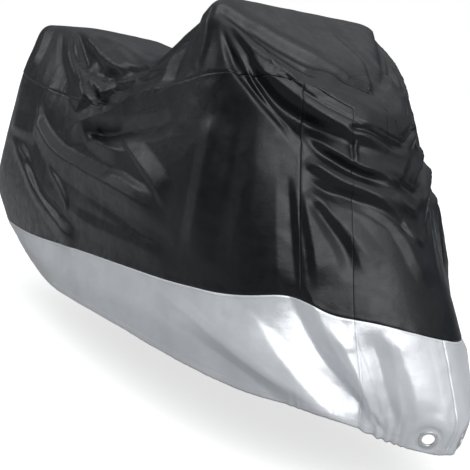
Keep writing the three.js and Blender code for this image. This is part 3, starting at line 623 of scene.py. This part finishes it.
def hem_relief(station, level, up):
    """The turned-up edge of the hem and the gathers that its elastic draws."""
    size = np.abs(station)
    above = level * up
    relief = HEM_LAP * smooth((HEM_DEPTH - above) / HEM_STEP + 0.5)
    relief -= HEM_LAP * np.exp(-((above - HEM_DEPTH) / HEM_GROOVE_HALF) ** 2)
    run = np.interp(size, HEM_STATIONS, HEM_RUN)
    marks = HEM_RUN[::SWAY_STRIDE]
    sway = np.interp(run, marks, [noise.noise(Vector((mark / SWAY_PITCH, SWAY_ROW, 0))) for mark in marks])
    for low, high, ripple, pitch, fade in GATHERS:
        inside = smooth((size - low) / GATHER_FADE + 0.5) * smooth((high - size) / GATHER_FADE + 0.5)
        wave = np.sin(2 * math.pi * run / pitch + SWAY_TURN * sway + above / fade)
        relief += ripple * (GATHER_SHARE + sway) * wave * inside * np.exp(-(above / fade) ** 2)
    return relief


def wrinkle_relief(points):
    """Creases at every size from a hand's width down, sharp at their crests."""
    relief = np.zeros(len(points))
    for across, height in WRINKLES:
        field = np.array([noise.noise(Vector(p / across)) for p in points])
        relief += height * (WRINKLE_MIDDLE - np.abs(field))
    return relief


def eyelet_seats():
    """Side, middle and outward direction of each eyelet on the cloth before it folds."""
    at = np.array([EYELET_STATION, -EYELET_STATION])
    level = np.full(2, EYELET_LEVEL)
    return list(zip((1, -1), stretched(at, level), directions(at, level)[0]))


SEATS = eyelet_seats()


def held_flat(points, station):
    """The cloth pressed flat round each eyelet, with the ring that its punch leaves."""
    for side, middle, outward in SEATS:
        reach = np.linalg.norm(points - middle, axis=1)
        near = 1 - smooth((reach - EYELET_FLAT) / (EYELET_FREE - EYELET_FLAT))
        near *= smooth(side * station / EYELET_CLEAR)
        off = (points - middle) @ outward
        dent = EYELET_DENT * np.exp(-((reach - EYELET_DENT_AT) / EYELET_DENT_HALF) ** 2)
        points = points - outward * ((off + dent) * near)[:, None]
    return points


def cloth_at(station, level):
    """Where the finished cloth's outer face lies, in millimetres above the ground."""
    points = stretched(station, level)
    normal, across, up = directions(station, level)
    height = fold_height(points, normal) + seam_relief(station, level, across, up, points)
    height += hem_relief(station, level, up) + wrinkle_relief(points)
    return held_flat(points + normal * height[:, None], station)


def divided(spans, seams, marks):
    """Where the cells divide, with a few more lines close to each seam."""
    out = {spans[0][0]}
    for low, high, count in spans:
        out |= {low + (high - low) * k / count for k in range(1, count + 1)}
    for seam in seams:
        out |= {seam + side * mark for mark in marks for side in (-1, 1) if seam + side * mark > 0}
    return sorted(out)


def both_ways(half):
    """Stations of both sides, from those of one."""
    return np.array([-s for s in reversed(half[1:])] + half)


STATIONS = both_ways(divided(COLUMN_SPANS, SEAM_STATIONS, STATION_MARKS))
LEVELS = np.array(divided(ROW_SPANS, SEAM_LEVELS, LEVEL_MARKS))
COLUMNS = len(STATIONS) - 1
ROWS = len(LEVELS) - 1


def vertex_ids():
    """Columns meet at the middle of the tail, and both sides share the ridge."""
    column, row = np.meshgrid(np.arange(COLUMNS + 1), np.arange(ROWS + 1), indexing="ij")
    wrapped = column % COLUMNS
    shared = np.where(row == ROWS, np.minimum(wrapped, (COLUMNS - wrapped) % COLUMNS), wrapped)
    return shared * (ROWS + 1) + row


def cell_corners(grid):
    """What a grid holds at the four corners of each cell, in the order that faces outwards."""
    return [grid[:-1, :-1], grid[:-1, 1:], grid[1:, 1:], grid[1:, :-1]]


def outer_points():
    """The finished cloth at every crossing of a station and a level."""
    station, level = np.meshgrid(STATIONS[:-1], LEVELS, indexing="ij")
    return cloth_at(station.ravel(), level.ravel())


OUTER = outer_points()
CELLS = np.stack([c.ravel() for c in cell_corners(vertex_ids())], 1)
CELL_STATION = np.repeat((STATIONS[:-1] + STATIONS[1:]) / 2, ROWS)
CELL_LEVEL = np.tile((LEVELS[:-1] + LEVELS[1:]) / 2, COLUMNS)


def punch_holes():
    """Marks the cells inside each eyelet and draws the cloth round them to a true circle."""
    middles = OUTER[CELLS].mean(axis=1)
    punched = np.zeros(len(CELLS), bool)
    for side, middle, outward in SEATS:
        inside = (np.linalg.norm(middles - middle, axis=1) < EYELET_HOLE) & (side * CELL_STATION > 0)
        rim = np.intersect1d(CELLS[inside], CELLS[~inside])
        spoke = OUTER[rim] - middle
        spoke -= np.outer(spoke @ outward, outward)
        OUTER[rim] = middle + spoke * (EYELET_HOLE / np.linalg.norm(spoke, axis=1, keepdims=True))
        punched |= inside
    return punched


PUNCHED = punch_holes()


def weave_places():
    """How far each cell corner lies along its row and up its column of cloth, in metres."""
    flat = stretched(*(a.ravel() for a in np.meshgrid(STATIONS, LEVELS, indexing="ij")))
    flat = flat.reshape(COLUMNS + 1, ROWS + 1, 3) * MM
    along = np.zeros((COLUMNS + 1, ROWS + 1))
    up = np.zeros_like(along)
    along[1:] = np.cumsum(np.linalg.norm(np.diff(flat, axis=0), axis=2), axis=0)
    up[:, 1:] = np.cumsum(np.linalg.norm(np.diff(flat, axis=1), axis=2), axis=1)
    places = np.stack([along, up], 2)
    return np.stack([c.reshape(-1, 2) for c in cell_corners(places)], 1)


def vertex_normals():
    """Outward direction at every point of the cloth, or nothing at points that no cell uses."""
    total = np.zeros_like(OUTER)
    a, b, c, d = (OUTER[CELLS[:, k]] for k in range(4))
    face = np.cross(c - a, d - b)
    for k in range(4):
        np.add.at(total, CELLS[:, k], face)
    length = np.linalg.norm(total, axis=1, keepdims=True)
    return total / np.where(length > 0, length, 1)


CELL_WEAVE = weave_places()
NORMALS = vertex_normals()


def add_object(name, data):
    """A new object in the scene."""
    made = bpy.data.objects.new(name, data)
    bpy.context.scene.collection.objects.link(made)
    return made


def shade_smooth(mesh):
    """Lets the shading run on from face to face."""
    mesh.update()
    mesh.polygons.foreach_set("use_smooth", [True] * len(mesh.polygons))


def panel(name, chosen):
    """A thin closed panel of cloth from the chosen cells, with its weave laid out in metres."""
    chosen = chosen & ~PUNCHED
    cells = CELLS[chosen]
    ids, local = np.unique(cells, return_inverse=True)
    local = local.reshape(cells.shape)
    outer = (OUTER[ids] - HANG_POINT) * MM
    inner = (OUTER[ids] - NORMALS[ids] * CLOTH - HANG_POINT) * MM
    count = len(ids)
    edges = np.concatenate([np.stack([local[:, k], local[:, (k + 1) % 4]], 1) for k in range(4)])
    forward = {tuple(edge) for edge in edges.tolist()}
    border = [edge for edge in forward if (edge[1], edge[0]) not in forward]
    faces = local.tolist() + (local[:, ::-1] + count).tolist()
    faces += [(b, a, a + count, b + count) for a, b in sorted(border)]
    mesh = bpy.data.meshes.new(name)
    mesh.from_pydata(np.concatenate([outer, inner]).tolist(), [], faces)
    weave = CELL_WEAVE[chosen]
    edge_weave = np.zeros((4 * len(border), 2))
    layout = np.concatenate([weave.reshape(-1, 2), weave[:, ::-1].reshape(-1, 2), edge_weave])
    mesh.uv_layers.new(name="weave").data.foreach_set("uv", layout.ravel())
    shade_smooth(mesh)
    return add_object(name, mesh)


def new_material(name, roughness, metallic):
    """A material with its nodes, its links and its shader."""
    material = bpy.data.materials.new(name)
    material.use_nodes = True
    shader = material.node_tree.nodes["Principled BSDF"]
    shader.inputs["Roughness"].default_value = roughness
    shader.inputs["Metallic"].default_value = metallic
    return material, material.node_tree.nodes, material.node_tree.links, shader


def noise_node(nodes, links, place, scale, detail, stretch=(1, 1, 1)):
    """Noise over the object, drawn out along an axis by stretch."""
    spread = nodes.new("ShaderNodeMapping")
    spread.inputs["Scale"].default_value = stretch
    texture = nodes.new("ShaderNodeTexNoise")
    texture.inputs["Scale"].default_value = scale
    texture.inputs["Detail"].default_value = detail
    links.new(place, spread.inputs["Vector"])
    links.new(spread.outputs["Vector"], texture.inputs["Vector"])
    return texture.outputs["Fac"]


def ramp_node(nodes, links, value, span, colours):
    """From the first colour to the second as the value crosses its span."""
    ramp = nodes.new("ShaderNodeValToRGB")
    for element, position, colour in zip(ramp.color_ramp.elements, span, colours):
        element.position = position
        element.color = (*colour, 1)
    links.new(value, ramp.inputs["Fac"])
    return ramp.outputs["Color"]


def range_node(nodes, links, value, low, high):
    """From low to high as a noise goes from its least to its most."""
    spread = nodes.new("ShaderNodeMapRange")
    spread.inputs["From Min"].default_value = NOISE_SPAN[0]
    spread.inputs["From Max"].default_value = NOISE_SPAN[1]
    spread.inputs["To Min"].default_value = low
    spread.inputs["To Max"].default_value = high
    links.new(value, spread.inputs["Value"])
    return spread.outputs["Result"]


def bump_node(nodes, links, height, distance, below=None):
    """Relief of a depth in metres, on top of the relief below."""
    bump = nodes.new("ShaderNodeBump")
    bump.inputs["Distance"].default_value = distance
    links.new(height, bump.inputs["Height"])
    if below:
        links.new(below, bump.inputs["Normal"])
    return bump.outputs["Normal"]


def weave_node(nodes, links, layout):
    """The threads of a plain weave, in both directions of the cloth's layout."""
    threads = nodes.new("ShaderNodeMath")
    threads.operation = "MAXIMUM"
    for socket, direction in ((0, "X"), (1, "Y")):
        wave = nodes.new("ShaderNodeTexWave")
        wave.bands_direction = direction
        wave.inputs["Scale"].default_value = WEAVE_SCALE
        links.new(layout, wave.inputs["Vector"])
        links.new(wave.outputs["Fac"], threads.inputs[socket])
    return threads.outputs["Value"]


def taffeta(name, colours, roughness, metallic, specular, crinkle):
    """Thin coated cloth: a fine plain weave under a gloss that crinkles and scuffs."""
    material, nodes, links, shader = new_material(name, roughness[0], metallic)
    shader.inputs["Specular IOR Level"].default_value = specular
    place = nodes.new("ShaderNodeTexCoord")
    on_piece = place.outputs["Object"]
    tone = noise_node(nodes, links, on_piece, *TONE_NOISE)
    links.new(ramp_node(nodes, links, tone, TONE_SPAN, colours), shader.inputs["Base Color"])
    scuff = noise_node(nodes, links, on_piece, *SCUFF_NOISE)
    links.new(range_node(nodes, links, scuff, *roughness), shader.inputs["Roughness"])
    broad = bump_node(nodes, links, noise_node(nodes, links, on_piece, *BROAD_CRINKLE), crinkle[0])
    fine = bump_node(nodes, links, noise_node(nodes, links, on_piece, *FINE_CRINKLE), crinkle[1], broad)
    threads = weave_node(nodes, links, place.outputs["UV"])
    links.new(bump_node(nodes, links, threads, WEAVE_DEPTH, fine), shader.inputs["Normal"])
    return material


def thread_material(name, colour):
    """Sewing thread with painted shade: a noise darkens its colour in place of the shade between its
    strands.
    """
    material, nodes, links, shader = new_material(name, THREAD_ROUGHNESS, 0)
    place = nodes.new("ShaderNodeTexCoord")
    # Painted shade between the strands: the noise mixes a darkened copy of the thread colour into it
    strand_shade = noise_node(nodes, links, place.outputs["Object"], *THREAD_SHADE_NOISE)
    shade = tuple(c * THREAD_SHADE for c in colour)
    links.new(ramp_node(nodes, links, strand_shade, NOISE_SPAN, (shade, colour)), shader.inputs["Base Color"])
    return material


def plated_material():
    """Plated metal with fine turning marks, a little duller where it is handled."""
    material, nodes, links, shader = new_material("plated_metal", PLATED_ROUGHNESS[0], 1)
    place = nodes.new("ShaderNodeTexCoord")
    stain = noise_node(nodes, links, place.outputs["Object"], *PLATED_STAIN)
    links.new(ramp_node(nodes, links, stain, NOISE_SPAN, PLATED_COLOURS), shader.inputs["Base Color"])
    links.new(range_node(nodes, links, stain, *PLATED_ROUGHNESS), shader.inputs["Roughness"])
    marks = noise_node(nodes, links, place.outputs["Object"], *TURNING_MARKS)
    links.new(bump_node(nodes, links, marks, TURNING_DEPTH), shader.inputs["Normal"])
    return material


def panel_rows():
    """Name, CAD node, cells, finish, flat size and share of every panel."""
    skirt = CELL_LEVEL < COLOUR_EDGE
    front = np.abs(CELL_STATION) < FRONT_SEAM
    crown = (CELL_LEVEL > CROWN_SEAM) | (~skirt & front)
    gore = ~skirt & ~crown & (np.abs(CELL_STATION) < GORE_SEAM)
    cells = {
        "side": ~skirt & ~crown & ~gore,
        "gore": gore,
        "skirt": skirt & ~front,
        "skirt_nose": skirt & front,
    }
    node, *facts = CROWN_PANEL
    rows = [(f"{node}_panel", node, crown, *facts)]
    for side, here in (("right", CELL_STATION > 0), ("left", CELL_STATION < 0)):
        for part, *facts in SIDE_PANELS:
            rows.append((f"{part}_panel_{side}", f"{part}_{side}", cells[part] & here, *facts))
    return rows


cloths = {name: taffeta(name, *finish) for name, finish in CLOTH_FINISHES.items()}
plated = plated_material()

for name, node, chosen, finish, flat, share in panel_rows():
    piece = panel(name, chosen)
    piece.data.materials.append(cloths[finish])
    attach(piece, "root")
    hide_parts(node)


def turned_ring(name, middle, outward):
    """The eyelet's section turned about its axis."""
    turn = Vector((0, 0, 1)).rotation_difference(Vector(outward))
    section = len(EYELET_SECTION)
    points = []
    for k in range(EYELET_SIDES):
        angle = 2 * math.pi * k / EYELET_SIDES
        for radius, height in EYELET_SECTION:
            spot = turn @ Vector((radius * math.cos(angle), radius * math.sin(angle), height))
            points.append((Vector(middle - HANG_POINT) + spot) * MM)
    faces = []
    for k in range(EYELET_SIDES):
        here, there = k * section, (k + 1) % EYELET_SIDES * section
        for j in range(section):
            after = (j + 1) % section
            faces.append((here + j, there + j, there + after, here + after))
    mesh = bpy.data.meshes.new(name)
    mesh.from_pydata(points, [], faces)
    shade_smooth(mesh)
    return add_object(name, mesh)


for side, (_, middle, outward) in zip(("right", "left"), SEATS):
    ring = turned_ring(f"eyelet_ring_{side}", middle, outward)
    ring.data.materials.append(plated)
    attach(ring, "root")
    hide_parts(f"eyelet_{side}")


def stitch_tree():
    """Stitches laid end to end along a route, as a Geometry Nodes group."""
    tree = bpy.data.node_groups.new("stitches", "GeometryNodeTree")
    face = tree.interface
    face.new_socket("Route", in_out="INPUT", socket_type="NodeSocketGeometry")
    for name, amount in STITCH_SIZES.items():
        face.new_socket(name, in_out="INPUT", socket_type="NodeSocketFloat").default_value = amount * MM
    face.new_socket("Finish", in_out="INPUT", socket_type="NodeSocketMaterial")
    face.new_socket("Stitches", in_out="OUTPUT", socket_type="NodeSocketGeometry")
    nodes = tree.nodes
    given = nodes.new("NodeGroupInput")
    made = nodes.new("NodeGroupOutput")
    curve = nodes.new("GeometryNodeMeshToCurve")
    spots = nodes.new("GeometryNodeCurveToPoints")
    spots.mode = "LENGTH"
    bead = nodes.new("GeometryNodeMeshUVSphere")
    bead.inputs["Segments"].default_value = BEAD_SEGMENTS
    bead.inputs["Rings"].default_value = BEAD_RINGS
    bead.inputs["Radius"].default_value = BEAD_RADIUS
    size = nodes.new("ShaderNodeCombineXYZ")
    place = nodes.new("GeometryNodeInstanceOnPoints")
    real = nodes.new("GeometryNodeRealizeInstances")
    finish = nodes.new("GeometryNodeSetMaterial")
    for source, output, target, socket in (
        (given, "Route", curve, "Mesh"),
        (curve, "Curve", spots, "Curve"),
        (given, "Pitch", spots, "Length"),
        (given, "Thread", size, "X"),
        (given, "Thread", size, "Y"),
        (given, "Length", size, "Z"),
        (spots, "Points", place, "Points"),
        (spots, "Rotation", place, "Rotation"),
        (bead, "Mesh", place, "Instance"),
        (size, "Vector", place, "Scale"),
        (place, "Instances", real, "Geometry"),
        (real, "Geometry", finish, "Geometry"),
        (given, "Finish", finish, "Material"),
        (finish, "Geometry", made, "Stitches"),
    ):
        tree.links.new(source.outputs[output], target.inputs[socket])
    return tree


def stitch_routes(thread):
    """Lines just over the cloth where this thread's rows of stitches run."""
    routes = []
    for kind, seam, aside, low, high in STITCHES_ALONG:
        if kind == thread:
            station = np.linspace(low, high, ROUTE_SAMPLES_ALONG)
            station = np.where(station > TAIL, station - 2 * TAIL, station)
            level = np.full_like(station, seam)
            routes.append((station, level, np.zeros_like(station), np.full_like(station, aside)))
    for kind, seam, aside, low, high in STITCHES_UP:
        if kind == thread:
            for side in (1, -1):
                level = np.linspace(low + ROUTE_INSET, high - ROUTE_INSET, ROUTE_SAMPLES_UP)
                station = np.full_like(level, side * seam)
                routes.append((station, level, np.full_like(level, side * aside), np.zeros_like(level)))
    lines = []
    for station, level, beside, above in routes:
        normal, across, up = directions(station, level)
        station = station + beside / across
        level = level + above / up
        lines.append(cloth_at(station, level) + normal * STITCH_LIFT)
    return lines


def stitch_piece(name, thread, finish, tree):
    """All the stitches of one thread as one mesh."""
    points, edges = [], []
    for line in stitch_routes(thread):
        first = len(points)
        points += ((line - HANG_POINT) * MM).tolist()
        edges += [(k, k + 1) for k in range(first, len(points) - 1)]
    guide = bpy.data.meshes.new(name)
    guide.from_pydata(points, edges, [])
    holder = add_object(name, guide)
    modifier = holder.modifiers.new("stitches", "NODES")
    modifier.node_group = tree
    inputs = {item.name: item.identifier for item in tree.interface.items_tree if item.in_out == "INPUT"}
    for size, amount in STITCH_SIZES.items():
        modifier[inputs[size]] = amount * MM
    modifier[inputs["Finish"]] = finish
    evaluated = holder.evaluated_get(bpy.context.evaluated_depsgraph_get())
    made = bpy.data.meshes.new_from_object(evaluated)
    holder.modifiers.remove(modifier)
    holder.data = made
    shade_smooth(made)
    return holder


tree = stitch_tree()
for thread, colour in THREADS:
    stitches = stitch_piece(f"{thread}_stitches", thread, thread_material(f"{thread}_thread", colour), tree)
    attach(stitches, "root")


def floor_material():
    """A pale floor that shows a faint shadow, and throws little light back up at the cloth."""
    material, nodes, links, shader = new_material("floor_pale", FLOOR_ROUGHNESS, 0)
    shader.inputs["Base Color"].default_value = (*FLOOR_THROWN, 1)
    shader.inputs["Specular IOR Level"].default_value = 0
    shown = nodes.new("ShaderNodeBsdfDiffuse")
    shown.inputs["Color"].default_value = (*FLOOR_SHOWN, 1)
    glow = nodes.new("ShaderNodeEmission")
    glow.inputs["Strength"].default_value = FLOOR_GLOW
    both = nodes.new("ShaderNodeAddShader")
    path = nodes.new("ShaderNodeLightPath")
    mix = nodes.new("ShaderNodeMixShader")
    links.new(shown.outputs[0], both.inputs[0])
    links.new(glow.outputs[0], both.inputs[1])
    links.new(path.outputs["Is Camera Ray"], mix.inputs["Fac"])
    links.new(shader.outputs[0], mix.inputs[1])
    links.new(both.outputs[0], mix.inputs[2])
    links.new(mix.outputs[0], nodes["Material Output"].inputs["Surface"])
    return material


bpy.ops.mesh.primitive_plane_add(size=FLOOR_SIZE, location=(0, 0, GROUND))
floor = bpy.context.object
floor.name = "floor"
floor.data.materials.append(floor_material())

camera = add_object("camera", bpy.data.cameras.new("camera"))
camera.data.lens = CAMERA_LENS
camera.data.sensor_width = CAMERA_SENSOR
facing = Matrix((CAMERA_RIGHT, CAMERA_UP, CAMERA_BACK)).transposed()
camera.matrix_world = Matrix.Translation(CAMERA_AT) @ facing.to_quaternion().to_matrix().to_4x4()
bpy.context.scene.camera = camera


def add_lamp(name, lamp, turn):
    """A lamp that is turned to its subject."""
    holder = add_object(name, lamp)
    holder.rotation_mode = "QUATERNION"
    holder.rotation_quaternion = turn
    return holder


for name, place, target, width, height, power in SOFT_BOXES:
    lamp = bpy.data.lights.new(name, "AREA")
    lamp.shape = "RECTANGLE"
    lamp.size = width
    lamp.size_y = height
    lamp.energy = power
    holder = add_lamp(name, lamp, (Vector(target) - Vector(place)).to_track_quat("-Z", "Y"))
    holder.location = place

key = bpy.data.lights.new("key", "SUN")
key.energy = KEY_STRENGTH
key.angle = math.radians(KEY_SPREAD)
add_lamp("key", key, Vector(KEY_FROM).to_track_quat("Z", "Y"))


def studio_world():
    """A dome that is bright overhead and dim at the sides, white where the camera sees past the floor."""
    made = bpy.data.worlds.new("studio")
    made.use_nodes = True
    nodes, links = made.node_tree.nodes, made.node_tree.links
    nodes.clear()
    place = nodes.new("ShaderNodeTexCoord")
    split = nodes.new("ShaderNodeSeparateXYZ")
    dome = nodes.new("ShaderNodeBackground")
    plain = nodes.new("ShaderNodeBackground")
    plain.inputs["Color"].default_value = (1, 1, 1, 1)
    path = nodes.new("ShaderNodeLightPath")
    mix = nodes.new("ShaderNodeMixShader")
    out = nodes.new("ShaderNodeOutputWorld")
    links.new(place.outputs["Generated"], split.inputs[0])
    height = split.outputs["Z"]
    links.new(ramp_node(nodes, links, height, DOME_SPAN, DOME_COLOURS), dome.inputs["Color"])
    links.new(path.outputs["Is Camera Ray"], mix.inputs[0])
    links.new(dome.outputs[0], mix.inputs[1])
    links.new(plain.outputs[0], mix.inputs[2])
    links.new(mix.outputs[0], out.inputs["Surface"])
    return made


bpy.context.scene.world = studio_world()
bpy.context.scene.view_settings.view_transform = "Standard"
